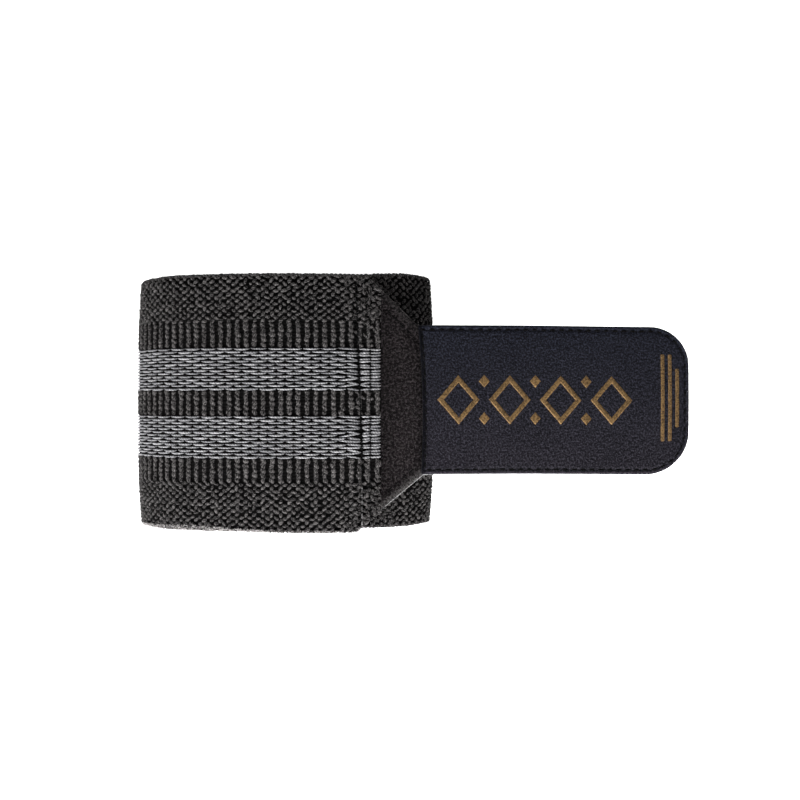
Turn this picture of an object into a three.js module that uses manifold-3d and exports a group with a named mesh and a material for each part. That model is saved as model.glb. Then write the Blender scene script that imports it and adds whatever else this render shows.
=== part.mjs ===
// Wrist wrap for weightlifting, rolled up and lying on its side with its closure tab standing out.
// Millimetres, +Z up. X runs from the roll to the tab's tip and Y runs across the band.
// The origin is on the table, under the middle of the whole piece.
import * as THREE from "three";
import { mergeVertices } from "three/addons/utils/BufferGeometryUtils.js";
import Module from "manifold-3d";

const wasm = await Module();
wasm.setup();

// Elastic band
const bandWidth = 80;
const bandThickness = 2.4;
const bandLength = 785;
const turnGap = 0.4; // air between one turn and the next
const selvedgeRound = 0.7; // how far the flat faces stop short of the woven edge
const turnPitch = bandThickness + turnGap;

// Roll: the outer face of the outermost turn, seen along the band's width
const rollHalfWidth = 49.6;
const crownRise = 24; // crown above the level where the roll is widest
const footDrop = 15; // that level above the turn's lowest layer
const footHalf = 30; // half the flat that the roll lies on
const bendTaper = 1.3; // how far the bends draw in at the woven edges
const bendNarrowing = 0.6; // how much each half of the width loses at the bends
const bendStart = 31; // distance from the roll's middle where the bends begin

// Loose end of the outermost turn, with the panel and the tab
const leadSlope = THREE.MathUtils.degToRad(3.5);
const leadLength = 25; // straight stretch up to the band's cut end
const sewnOverlap = 9; // of the band over the panel
const pieceGap = 0.3; // between pieces that lie on each other

// End panel, folded cloth that narrows from the band to the tab
const panelThickness = 1.2;
const panelReach = 12.8; // seen between the band's end and the tab
const panelTaper = 16.8; // length of each slanted edge along the band
const panelTongue = 8; // under the tab
const tongueInset = 1.5;
const hemWidth = 3.4;
const hemFold = 0.5; // extra thickness under each slanted edge
const bandInset = 0.8; // of the band's clipped corners from the slanted edges

// Closure tab
const tabLength = 83.7;
const tabWidth = 46.4;
const tabThickness = 2;
const tabOffset = 0.9; // of the tab's centre line from the band's
const tabCornerUpper = 12;
const tabCornerLower = 13.5;
const tabRootCorner = 1;
const tabRootCurve = 0.9; // the sewn root's edge is hollow by this much
const tabTipBulge = 0.4;
const leatherBevel = 0.4;

// Hook pad under the tab
const hookThickness = 1.2;
const hookInset = 0.6;
const hookBevel = 0.2;

// Gold foil on the tab: three bars near the tip, and a row of lozenges with studs between them
const foilThickness = 0.3;
const barWidth = 1.4;
const barSpacing = 2.25;
const longBar = 27.2;
const shortBar = 18.3;
const barsFromTip = 8.4; // first bar's middle
const barsOffset = 0.9; // above the tab's centre line
const lozengeCount = 4;
const lozengeRowStart = 4.4; // from the tab's root
const lozengeRowLength = 61.6;
const lozengeHeight = 15.6;
const lozengeGap = 2.6; // from one lozenge's point to the next
const lozengeStroke = 1.7;
const studWidth = 3.4;
const studHeight = 4.4;
const studOffset = 5.8; // above and below the tab's centre line

// Fineness of the facets
const mostTurnPerFacet = THREE.MathUtils.degToRad(12);
const longestFacet = 14;
const curveFacets = 10;

const { smoothstep } = THREE.MathUtils;

// Where a turn changes from one stretch to the next, as shares of the turn from crown to crown
const turnShares = { leftBend: 0.26, footStart: 0.367, footEnd: 0.633, rightBend: 0.74 };
const seatDepth = panelThickness + pieceGap; // the second turn dips by this under the panel

// How far in the path has moved after this many turns: it stands still along the flat foot.
function windingInset(turns) {
  const whole = Math.floor(turns);
  const share = turns - whole;
  const { footStart, footEnd } = turnShares;
  const before = Math.min(share / footStart, 1);
  const after = Math.max((share - footEnd) / (1 - footEnd), 0);
  return turnPitch * (whole + (before + after) / 2);
}

// A point of the wound path in the roll's own frame: x across the roll and z from its widest level.
function woundPoint(turns) {
  const { leftBend, footStart, footEnd, rightBend } = turnShares;
  const share = turns - Math.floor(turns);
  const inset = windingInset(turns);
  const reach = rollHalfWidth - inset;
  const rise = crownRise - inset - seatDepth * smoothstep(turns, footEnd, 1);
  const drop = footDrop - inset;
  const footReach = reach - footHalf;
  const quarter = Math.PI / 2;
  if (share < leftBend) {
    const angle = (quarter * share) / leftBend;
    return [-reach * Math.sin(angle), rise * Math.cos(angle)];
  }
  if (share < footStart) {
    const angle = quarter * (1 + (share - leftBend) / (footStart - leftBend));
    return [-footHalf - footReach * Math.sin(angle), drop * Math.cos(angle)];
  }
  if (share < footEnd) {
    const along = (share - footStart) / (footEnd - footStart);
    return [footHalf * (2 * along - 1), -drop];
  }
  if (share < rightBend) {
    const angle = quarter * (2 + (share - footEnd) / (rightBend - footEnd));
    return [footHalf - footReach * Math.sin(angle), drop * Math.cos(angle)];
  }
  const angle = quarter * (3 + (share - rightBend) / (1 - rightBend));
  return [-reach * Math.sin(angle), rise * Math.cos(angle)];
}

// The straight loose end leaves the outermost turn where the crown slopes as much as it does.
const leaveAngle = Math.atan((Math.tan(leadSlope) * rollHalfWidth) / crownRise);
const leavePoint = new THREE.Vector3(
  rollHalfWidth * Math.sin(leaveAngle),
  0,
  crownRise * Math.cos(leaveAngle),
);

// The band's outer face as a curve, from its cut end on the outside to the most turns that fit.
class BandPath extends THREE.Curve {
  constructor() {
    super();
    this.mostTurns = (footDrop - bandThickness) / turnPitch;
    this.arcLengthDivisions = 6000;
  }
  getPoint(t, target = new THREE.Vector3()) {
    const turns = t * (this.mostTurns + 1) - 1;
    if (turns >= 0) {
      const [x, z] = woundPoint(turns);
      return target.set(x, 0, z);
    }
    const arcShare = 0.2; // of the unwound unit, for the short arc between the crown and the lead
    if (-turns < arcShare) {
      const angle = (leaveAngle * -turns) / arcShare;
      return target.set(rollHalfWidth * Math.sin(angle), 0, crownRise * Math.cos(angle));
    }
    const along = (leadLength * (-turns - arcShare)) / (1 - arcShare);
    return target.set(
      leavePoint.x + along * Math.cos(leadSlope),
      0,
      leavePoint.z - along * Math.sin(leadSlope),
    );
  }
}

// Distances along the curve where the band gets a section: close in the bends and wide on the flats.
function sectionStations(path, length) {
  const total = path.getLength();
  const step = 0.5;
  const stations = [0];
  let last = path.getTangentAt(0);
  for (let s = step; s < length - step; s += step) {
    const tangent = path.getTangentAt(s / total);
    const walked = s - stations[stations.length - 1];
    if (last.angleTo(tangent) > mostTurnPerFacet || walked > longestFacet) {
      stations.push(s);
      last = tangent;
    }
  }
  stations.push(length);
  return stations.map((s) => ({ s, u: s / total }));
}

// The bends draw in at the woven edges, so the roll is a little barrel shaped.
function barrel(x, y, z) {
  const bend = smoothstep(Math.abs(x), bendStart, rollHalfWidth);
  const edge = Math.abs((2 * y) / bandWidth) ** 3;
  return [
    x - Math.sign(x) * bendTaper * edge * bend,
    y * (1 - ((2 * bendNarrowing) / bandWidth) * bend * bend),
    z,
  ];
}

// A closed skin through equal sections. Each section lists its outer points and then its inner ones.
function loftedSections(sections, across) {
  const around = sections[0].length;
  const positions = sections.flat(2);
  const faces = [];
  const quad = (a, b, c, d) => faces.push(a, b, c, a, c, d);
  for (let i = 0; i + 1 < sections.length; i++) {
    for (let j = 0; j < around; j++) {
      const next = (j + 1) % around;
      quad(i * around + j, i * around + next, (i + 1) * around + next, (i + 1) * around + j);
    }
  }
  // Each end is capped by quads between an outer point and the inner point behind it.
  const cap = (first, flip) => {
    const outer = (j) => first + j;
    const inner = (j) => first + around - 1 - j;
    for (let j = 0; j + 1 < across; j++) {
      const ring = [outer(j), outer(j + 1), inner(j + 1), inner(j)];
      quad(...(flip ? ring.reverse() : ring));
    }
  };
  cap(0, true);
  cap((sections.length - 1) * around, false);
  const geometry = new THREE.BufferGeometry();
  geometry.setAttribute("position", new THREE.Float32BufferAttribute(positions, 3));
  geometry.setIndex(faces);
  geometry.computeVertexNormals();
  return geometry;
}

// The elastic band: a flat strip with soft woven edges, wound from its cut end inwards.
function elasticBandGeometry() {
  const path = new BandPath();
  const half = bandWidth / 2;
  const clipLength = panelTaper - panelReach + bandInset;
  const clipSlope = (half - tabWidth / 2) / panelTaper;
  const shares = [-1, -0.55, 0, 0.55, 1];
  const sections = sectionStations(path, bandLength).map(({ s, u }) => {
    const point = path.getPointAt(u);
    const tangent = path.getTangentAt(u);
    const normal = [tangent.z, -tangent.x];
    const halfHere = half - Math.max(0, clipLength - s) * clipSlope;
    const place = (y, depth) =>
      barrel(point.x - normal[0] * depth, y, point.z - normal[1] * depth);
    const flat = halfHere - selvedgeRound;
    const outer = shares.map((share) => place(share * flat, 0));
    const inner = shares.map((share) => place(-share * flat, bandThickness));
    const woven = (side) => [
      place(side * halfHere, bandThickness * 0.3),
      place(side * halfHere, bandThickness * 0.7),
    ];
    const [farTop, farBottom] = woven(1);
    const [nearTop, nearBottom] = woven(-1);
    return [nearTop, ...outer, farTop, farBottom, ...inner, nearBottom];
  });
  return loftedSections(sections, shares.length + 2);
}

// A plate cut to a shape, with rounded rims that stay inside the outline.
function plateGeometry(shape, thickness, bevel) {
  const geometry = new THREE.ExtrudeGeometry(shape, {
    depth: thickness - 2 * bevel,
    bevelEnabled: bevel > 0,
    bevelThickness: bevel,
    bevelSize: bevel,
    bevelOffset: -bevel,
    bevelSegments: 2,
    curveSegments: curveFacets,
  });
  return geometry.translate(0, 0, bevel);
}

function solidOf(geometry) {
  const bare = geometry.index ? geometry.toNonIndexed() : geometry.clone();
  bare.deleteAttribute("normal");
  bare.deleteAttribute("uv");
  const merged = mergeVertices(bare, 1e-3);
  return new wasm.Manifold(
    new wasm.Mesh({
      numProp: 3,
      vertProperties: merged.attributes.position.array,
      triVerts: new Uint32Array(merged.index.array),
    }),
  );
}

function geometryOf(solid) {
  const mesh = solid.getMesh();
  const geometry = new THREE.BufferGeometry();
  geometry.setAttribute("position", new THREE.BufferAttribute(mesh.vertProperties, 3));
  geometry.setIndex(new THREE.BufferAttribute(mesh.triVerts, 1));
  geometry.computeVertexNormals();
  return geometry;
}

// Places along the straight loose end, measured from where it leaves the roll
const panelStart = leadLength - sewnOverlap;
const tabRoot = leadLength + panelReach;
const taperStart = tabRoot - panelTaper;
const tongueEnd = tabRoot + panelTongue;

// The four corners of a slanted edge's hem, on the band's upper or lower side
function slantedEdge(side) {
  const wide = new THREE.Vector2(taperStart, (side * bandWidth) / 2);
  const narrow = new THREE.Vector2(tabRoot, tabOffset + (side * tabWidth) / 2);
  const along = narrow.clone().sub(wide).normalize();
  const inward = new THREE.Vector2(along.y, -along.x).multiplyScalar(side * hemWidth);
  return [wide, narrow, narrow.clone().add(inward), wide.clone().add(inward)];
}

// The end panel: flat under the band, slanted to the tab's width, a tongue under the tab, and
// the cloth folded under along each slanted edge.
function endPanelGeometry() {
  const [upperWide, upperNarrow] = slantedEdge(1);
  const [lowerWide, lowerNarrow] = slantedEdge(-1);
  const tongueHalf = tabWidth / 2 - tongueInset;
  const outline = new THREE.Shape([
    new THREE.Vector2(panelStart, lowerWide.y),
    lowerWide,
    lowerNarrow,
    new THREE.Vector2(tabRoot, tabOffset - tongueHalf),
    new THREE.Vector2(tongueEnd, tabOffset - tongueHalf),
    new THREE.Vector2(tongueEnd, tabOffset + tongueHalf),
    new THREE.Vector2(tabRoot, tabOffset + tongueHalf),
    upperNarrow,
    upperWide,
    new THREE.Vector2(panelStart, upperWide.y),
  ]);
  const sheet = solidOf(plateGeometry(outline, panelThickness, 0));
  const hems = [1, -1].map((side) => {
    const hem = plateGeometry(new THREE.Shape(slantedEdge(side)), panelThickness + hemFold, 0);
    return solidOf(hem.translate(0, 0, -hemFold));
  });
  return geometryOf(hems.reduce((whole, hem) => whole.add(hem), sheet));
}

// The tab's outline from its root at x = 0, set in by inset, with the tip's two large corners
function tabShape(inset, rootCurve, start = 0) {
  const left = start + inset;
  const right = tabLength - inset;
  const low = inset - tabWidth / 2;
  const high = tabWidth / 2 - inset;
  const lower = tabCornerLower - inset;
  const upper = tabCornerUpper - inset;
  const root = tabRootCorner;
  const shape = new THREE.Shape();
  shape.moveTo(left + root, low);
  shape.lineTo(right - lower, low);
  shape.absarc(right - lower, low + lower, lower, -Math.PI / 2, 0, false);
  shape.quadraticCurveTo(right + 2 * tabTipBulge, (low + high) / 2, right, high - upper);
  shape.absarc(right - upper, high - upper, upper, 0, Math.PI / 2, false);
  shape.lineTo(left + root, high);
  shape.absarc(left + root, high - root, root, Math.PI / 2, Math.PI, false);
  shape.quadraticCurveTo(left + 2 * rootCurve, (low + high) / 2, left, low + root);
  shape.absarc(left + root, low + root, root, Math.PI, 1.5 * Math.PI, false);
  return shape;
}

const closureTabGeometry = () => plateGeometry(tabShape(0, tabRootCurve), tabThickness, leatherBevel);

// The hook pad starts clear of the panel's tongue and follows the tab's outline.
const hookPadGeometry = () =>
  plateGeometry(tabShape(hookInset, 0, panelTongue + pieceGap), hookThickness, hookBevel);

// A foil bar with round ends, upright on the tab
function foilBarGeometry(length) {
  const radius = barWidth / 2;
  const straight = length / 2 - radius;
  const shape = new THREE.Shape();
  shape.absarc(0, straight, radius, 0, Math.PI, false);
  shape.absarc(0, -straight, radius, Math.PI, 2 * Math.PI, false);
  return plateGeometry(shape, foilThickness, 0);
}

const lozengeSpacing = (lozengeRowLength + lozengeGap) / lozengeCount;
const lozengeWidth = lozengeSpacing - lozengeGap;

function rhombus(width, height) {
  const right = new THREE.Vector2(width / 2, 0);
  const top = new THREE.Vector2(0, height / 2);
  return [right, top, right.clone().negate(), top.clone().negate()];
}

// A foil lozenge with an open middle, whose sides are all one stroke wide
function foilLozengeGeometry() {
  const shape = new THREE.Shape(rhombus(lozengeWidth, lozengeHeight));
  const sideLength = Math.hypot(lozengeWidth, lozengeHeight) / 2;
  const inRadius = (lozengeWidth * lozengeHeight) / (4 * sideLength);
  const opening = 1 - lozengeStroke / inRadius;
  const hole = rhombus(lozengeWidth * opening, lozengeHeight * opening);
  shape.holes.push(new THREE.Path(hole.reverse()));
  return plateGeometry(shape, foilThickness, 0);
}

const foilStudGeometry = () =>
  plateGeometry(new THREE.Shape(rhombus(studWidth, studHeight)), foilThickness, 0);

const materials = {
  elastic: new THREE.MeshStandardMaterial({ color: 0x33312f, roughness: 0.95, metalness: 0 }),
  panel: new THREE.MeshStandardMaterial({ color: 0x272424, roughness: 0.9, metalness: 0 }),
  leather: new THREE.MeshStandardMaterial({ color: 0x22222b, roughness: 0.6, metalness: 0 }),
  hooks: new THREE.MeshStandardMaterial({ color: 0x141416, roughness: 0.7, metalness: 0 }),
  foil: new THREE.MeshStandardMaterial({ color: 0x9a7448, roughness: 0.45, metalness: 0.8 }),
};

function piece(name, geometry, material) {
  const mesh = new THREE.Mesh(geometry, material);
  mesh.name = name;
  return mesh;
}

// Pieces on the straight loose end: x along it, z = 0 on the band's outer face
function looseEnd() {
  const group = new THREE.Group();
  group.position.copy(leavePoint);
  group.rotation.y = leadSlope;

  const panelBase = -bandThickness - pieceGap - panelThickness;
  const panel = piece("end_panel", endPanelGeometry(), materials.panel);
  panel.position.z = panelBase;
  group.add(panel);

  const tab = new THREE.Group();
  tab.position.set(tabRoot, tabOffset, panelBase + panelThickness + pieceGap);
  group.add(tab);
  tab.add(piece("closure_tab", closureTabGeometry(), materials.leather));
  const hooks = piece("hook_pad", hookPadGeometry(), materials.hooks);
  hooks.position.z = -pieceGap - hookThickness;
  tab.add(hooks);

  const foil = new THREE.Group();
  foil.position.z = tabThickness + pieceGap;
  tab.add(foil);
  [longBar, longBar, shortBar].forEach((length, k) => {
    const bar = piece(`foil_bar_${k + 1}`, foilBarGeometry(length), materials.foil);
    bar.position.set(tabLength - barsFromTip + k * barSpacing, barsOffset, 0);
    foil.add(bar);
  });
  for (let k = 0; k < lozengeCount; k++) {
    const middle = lozengeRowStart + lozengeWidth / 2 + k * lozengeSpacing;
    const lozenge = piece(`foil_lozenge_${k + 1}`, foilLozengeGeometry(), materials.foil);
    lozenge.position.set(middle, 0, 0);
    foil.add(lozenge);
    if (k + 1 === lozengeCount) break;
    [1, -1].forEach((side) => {
      const name = `foil_stud_${side > 0 ? "upper" : "lower"}_${k + 1}`;
      const stud = piece(name, foilStudGeometry(), materials.foil);
      stud.position.set(middle + lozengeSpacing / 2, side * studOffset, 0);
      foil.add(stud);
    });
  }
  return group;
}

const wrap = new THREE.Group();
wrap.add(piece("elastic_band", elasticBandGeometry(), materials.elastic));
wrap.add(looseEnd());

// The whole piece is set on the table with its middle over the origin.
const box = new THREE.Box3().setFromObject(wrap, true);
wrap.position.set(-(box.min.x + box.max.x) / 2, 0, -box.min.z);

const wristWrap = new THREE.Group();
wristWrap.add(wrap);

export default wristWrap;
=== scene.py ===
import math

import bpy
import numpy as np
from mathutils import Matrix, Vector


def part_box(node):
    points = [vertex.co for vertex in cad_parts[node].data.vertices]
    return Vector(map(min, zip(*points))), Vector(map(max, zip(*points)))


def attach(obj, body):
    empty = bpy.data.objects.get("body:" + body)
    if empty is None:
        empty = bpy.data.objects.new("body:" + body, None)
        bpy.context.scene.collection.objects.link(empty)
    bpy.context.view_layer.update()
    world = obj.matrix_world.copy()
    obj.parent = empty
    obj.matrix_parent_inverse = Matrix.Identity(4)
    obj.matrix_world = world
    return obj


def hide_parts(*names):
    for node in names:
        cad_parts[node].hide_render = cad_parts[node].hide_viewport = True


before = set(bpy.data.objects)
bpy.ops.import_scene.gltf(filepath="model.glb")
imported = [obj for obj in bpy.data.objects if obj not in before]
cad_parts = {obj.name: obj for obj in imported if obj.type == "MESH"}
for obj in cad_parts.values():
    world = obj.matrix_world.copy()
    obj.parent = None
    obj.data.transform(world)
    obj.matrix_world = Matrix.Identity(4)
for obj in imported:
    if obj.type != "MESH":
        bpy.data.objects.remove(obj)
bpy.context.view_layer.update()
mm = 0.001  # every size below is in millimetres

# The photograph: taken straight down, with its sides along the table's X and Y
photo = {
    "centre": (-2.8, 0.8),
    "heightOverCrown": 400.0,
    "crown": 37.6,
    "seenWidth": 246.6,  # what the picture's width takes in at the crown's height
    "sensor": 36.0,
}


def newObject(name, data):
    made = bpy.data.objects.new(name, data)
    bpy.context.scene.collection.objects.link(made)
    return made


def makeCamera():
    data = bpy.data.cameras.new("photoCamera")
    data.sensor_width = photo["sensor"]
    data.lens = photo["sensor"] * photo["heightOverCrown"] / photo["seenWidth"]
    camera = newObject("photoCamera", data)
    place = (*photo["centre"], photo["heightOverCrown"] + photo["crown"])
    camera.location = [distance * mm for distance in place]
    bpy.context.scene.camera = camera


makeCamera()
print("camera ready")


# Mesh making

def smooth(value, low, high):
    # from 0 at low to 1 at high: three times the square of the share of the way, less two times its cube
    t = np.clip((value - low) / (high - low), 0, 1)
    return t * t * (3 - 2 * t)


def bell(value, middle, width):
    # e to the power of minus the square of the distance from the middle, counted in widths
    return np.exp(-((value - middle) / width) ** 2)


def rolled(distance, width):
    # the square of 1 less the distance from a rim, counted in widths and no more than 1
    return (1 - np.clip(distance / width, 0, 1)) ** 2


def gridFaces(rows, columns, ring):
    # quads of a grid of points, whose last row joins the first in a ring
    i = np.arange(rows if ring else rows - 1)[:, None]
    j = np.arange(columns - 1)[None, :]
    after = (i + 1) % rows
    corners = [i * columns + j, after * columns + j, after * columns + j + 1, i * columns + j + 1]
    return np.stack(np.broadcast_arrays(*corners), -1).reshape(-1, 4)


def buildPiece(name, material, points, faces, uv, tone=None):
    # points in millimetres and lists of equal-sized faces, put into a mesh as whole arrays
    loops = np.concatenate([f.ravel() for f in faces]).astype(np.int32)
    sizes = np.concatenate([np.full(len(f), f.shape[1]) for f in faces])
    starts = np.concatenate([[0], np.cumsum(sizes)[:-1]]).astype(np.int32)
    mesh = bpy.data.meshes.new(name)
    mesh.vertices.add(len(points))
    mesh.vertices.foreach_set("co", (points * mm).astype(np.float32).ravel())
    mesh.loops.add(len(loops))
    mesh.loops.foreach_set("vertex_index", loops)
    mesh.polygons.add(len(sizes))
    mesh.polygons.foreach_set("loop_start", starts)
    layer = mesh.uv_layers.new(name="clothUv")
    layer.data.foreach_set("uv", uv[loops].astype(np.float32).ravel())
    if tone is not None:
        attribute = mesh.attributes.new("tone", "FLOAT", "POINT")
        attribute.data.foreach_set("value", tone.astype(np.float32))
    mesh.update(calc_edges=True)
    mesh.validate()
    mesh.polygons.foreach_set("use_smooth", np.full(len(sizes), True))
    mesh.materials.append(material)
    return newObject(name, mesh)


def slab(name, material, surface, x, y, topHeight, bottomHeight, ring=False, tone=None):
    # a closed sheet: one grid laid on the surface at two heights, with walls between the rims.
    # rows cross columns points out of the top face.
    top, bottom = surface(x, y, topHeight), surface(x, y, bottomHeight)
    rows, columns = top.shape[:2]
    count = rows * columns
    upper = gridFaces(rows, columns, ring)
    lower = count + upper[:, ::-1]
    i = np.arange(rows if ring else rows - 1)
    near, nearAfter = i * columns, (i + 1) % rows * columns
    far, farAfter = near + columns - 1, nearAfter + columns - 1
    walls = [
        np.stack([near, near + count, nearAfter + count, nearAfter], -1),
        np.stack([far, farAfter, farAfter + count, far + count], -1),
    ]
    if not ring:
        j = np.arange(columns - 1)
        last = (rows - 1) * columns + j
        walls.append(np.stack([j, j + 1, j + 1 + count, j + count], -1))
        walls.append(np.stack([last, last + count, last + 1 + count, last + 1], -1))
    points = np.concatenate([top.reshape(-1, 3), bottom.reshape(-1, 3)])
    uv = np.concatenate([np.stack([x, y], -1).reshape(-1, 2)] * 2)
    if tone is not None:
        tone = np.concatenate([tone.ravel()] * 2)
    return buildPiece(name, material, points, [upper, lower, *walls], uv, tone)


def threads(name, material, surface, x, y, angle, halfLength, halfWidth, halfHeight,
            lift=0.0, arch=0.0, bow=0.0, sections=5, sides=6, fullness=2.5, seed=1):
    # many closed spindles on a surface. At t from -1 to 1 along a spindle its section is an ellipse
    # scaled by the root of 1 - |t|^fullness; its centre rises by arch (1 - t^2) and bows by bow (1 - t^4).
    count = len(x)

    def perThread(value):
        return np.broadcast_to(np.asarray(value, float), (count,))[:, None]

    def perPoint(value):
        return perThread(value)[:, :, None]

    def withTips(rings, tips):
        # the points of each spindle's rings, and its two tips after them
        return np.concatenate([rings.reshape(count, -1), np.broadcast_to(tips, (count, 2))], 1)

    t = np.sin(np.linspace(-0.5, 0.5, sections + 2)[1:-1] * math.pi)[None, :, None]
    around = np.linspace(0, 2 * math.pi, sides, endpoint=False)[None, None, :]
    size = np.sqrt(1 - np.abs(t) ** fullness)
    along = perPoint(halfLength) * t * np.ones_like(around)
    side = perPoint(halfWidth) * size * np.cos(around) + perPoint(bow) * (1 - t ** 4)
    rise = perPoint(arch) * (1 - t ** 2)
    height = perPoint(halfHeight) * size * np.sin(around) + rise + perPoint(lift)
    along = withTips(along, perThread(halfLength) * np.array([-1.0, 1.0]))
    side = withTips(side, 0.0)
    height = withTips(height, perThread(lift))
    turn = perThread(angle)
    p = perThread(x) + along * np.cos(turn) - side * np.sin(turn)
    q = perThread(y) + along * np.sin(turn) + side * np.cos(turn)
    points = surface(p.ravel(), q.ravel(), height.ravel())
    offset = np.random.default_rng(seed).random(count) * 40
    perimeter = withTips(perPoint(halfWidth) * around + 0 * t, 0.0)
    uv = np.stack([along + perThread(offset), perimeter], -1).reshape(-1, 2)
    # faces of one spindle, repeated for all
    a = np.arange(sections - 1)[:, None] * sides
    b = np.arange(sides)[None, :]
    c = (b + 1) % sides
    quads = np.stack(np.broadcast_arrays(a + b, a + sides + b, a + sides + c, a + c), -1).reshape(-1, 4)
    b, c = b[0], c[0]
    tip = sections * sides
    last = tip - sides
    ends = np.concatenate([
        np.stack([np.full(sides, tip), b, c], -1),
        np.stack([np.full(sides, tip + 1), last + c, last + b], -1),
    ])
    whole = tip + 2
    step = (np.arange(count) * whole)[:, None, None]
    faces = [(quads[None] + step).reshape(-1, 4), (ends[None] + step).reshape(-1, 3)]
    tone = np.repeat(np.random.default_rng(seed + 1).random(count), whole)
    return buildPiece(name, material, points, faces, uv, tone)


# The roll's master line, as the part's source has it

band = {
    "width": 80.0,
    "thickness": 2.4,
    "length": 785.0,
    "turnGap": 0.4,
    "rollHalfWidth": 49.6,
    "crownRise": 24.0,
    "footDrop": 15.0,
    "footHalf": 30.0,
    "bendTaper": 1.3,
    "bendNarrowing": 0.6,
    "bendStart": 31.0,
    "leadSlope": math.radians(3.5),
    "leadLength": 25.0,
    "turnShares": (0.26, 0.367, 0.633, 0.74),  # widest left, the foot's two ends, widest right
    "seatDepth": 1.5,
    "stitchRows": (3.55, 6.68),  # from the cut end
    "rowSlants": (0.0, 0.038),
    "pinchDepths": (0.18, 0.5),
    "pinchWidth": 0.9,
    "pinchFloor": -1.4,  # what lies deeper isn't pressed
    "endPress": 0.5,
    "endPressReach": 1.6,
    "cutEnd": 0.2,
    "underSpan": (120.0, 200.0),  # where the band goes round under its outer turn
    "innerShift": 0.45,  # the turns under the outer one lie a little higher across
    "looseEdge": 0.8,  # their upper edge is slack at the right bend
    "looseSpan": (22.0, 42.0),
    "endDraw": 0.020,  # the upper side of the sewn end is drawn in
    "endDrawReach": 16.0,
    "lowerSlack": 0.5,  # and its lower side hangs out a little
    "slackSpans": ((3.0, 12.0), (24.0, 45.0)),  # where the slack comes and goes
}


def woundPoint(turns):
    # quarter ellipses over and under the widest level, joined by a flat foot, all set in as it winds
    leftBend, footStart, footEnd, rightBend = band["turnShares"]
    whole = np.floor(turns)
    share = turns - whole
    pitch = band["thickness"] + band["turnGap"]
    before = np.minimum(share / footStart, 1)
    past = np.maximum((share - footEnd) / (1 - footEnd), 0)
    inset = pitch * (whole + (before + past) / 2)
    reach = band["rollHalfWidth"] - inset
    rise = band["crownRise"] - inset - band["seatDepth"] * smooth(turns, footEnd, 1)
    drop = band["footDrop"] - inset
    foot = band["footHalf"]
    bends = ((0, leftBend), (leftBend, footStart), (footEnd, rightBend), (rightBend, 1))
    angles = [math.pi / 2 * (k + (share - start) / (end - start)) for k, (start, end) in enumerate(bends)]
    sines, cosines = np.sin(angles), np.cos(angles)
    flat = foot * (2 * (share - footStart) / (footEnd - footStart) - 1)
    nearFoot = [-foot - (reach - foot) * sines[1], flat, foot - (reach - foot) * sines[2]]
    where = [share < end for end in band["turnShares"]]
    x = np.select(where, [-reach * sines[0], *nearFoot], -reach * sines[3])
    z = np.select(where, [rise * cosines[0], drop * cosines[1], -drop, drop * cosines[2]], rise * cosines[3])
    return x, z


leaveAngle = math.atan(math.tan(band["leadSlope"]) * band["rollHalfWidth"] / band["crownRise"])
leavePoint = band["rollHalfWidth"] * math.sin(leaveAngle), band["crownRise"] * math.cos(leaveAngle)


def masterLine(fineness=24000):
    # the straight loose end, the short arc up to the crown and the wound turns, by length from the cut end
    lead = np.linspace(band["leadLength"], 0, fineness // 20, endpoint=False)
    slope = band["leadSlope"]
    arc = np.linspace(leaveAngle, 0, fineness // 20, endpoint=False)
    mostTurns = (band["footDrop"] - band["thickness"]) / (band["thickness"] + band["turnGap"])
    turns = np.linspace(0, mostTurns, fineness)
    woundX, woundZ = woundPoint(turns)
    x = np.concatenate([leavePoint[0] + lead * math.cos(slope), band["rollHalfWidth"] * np.sin(arc), woundX])
    z = np.concatenate([leavePoint[1] - lead * math.sin(slope), band["crownRise"] * np.cos(arc), woundZ])
    length = np.concatenate([[0], np.cumsum(np.hypot(np.diff(x), np.diff(z)))])
    tangentX, tangentZ = np.gradient(x, length), np.gradient(z, length)
    size = np.hypot(tangentX, tangentZ)
    firstTurnEnd = np.interp(1.0, turns, length[-fineness:])
    return {"s": length, "x": x, "z": z, "outX": tangentZ / size, "outZ": -tangentX / size,
            "firstTurnEnd": firstTurnEnd}


line = masterLine()
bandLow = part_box("elastic_band")[0]
onBand = line["s"] <= band["length"]
shiftX = bandLow.x / mm - line["x"][onBand].min()
shiftZ = bandLow.z / mm - line["z"][onBand].min()


def rowPlace(k, across):
    # where a stitch row crosses the band: the farther one runs a little askew on its upper part
    return band["stitchRows"][k] + band["rowSlants"][k] * np.maximum(across, -15.0)


def pinch(along, across):
    # the cut end and the stitch rows near it are pressed down
    pressed = band["endPress"] * smooth(-along, -band["endPressReach"], 0)
    for k, depth in enumerate(band["pinchDepths"]):
        pressed = pressed + depth * bell(along, rowPlace(k, across), band["pinchWidth"])
    return -pressed


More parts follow.
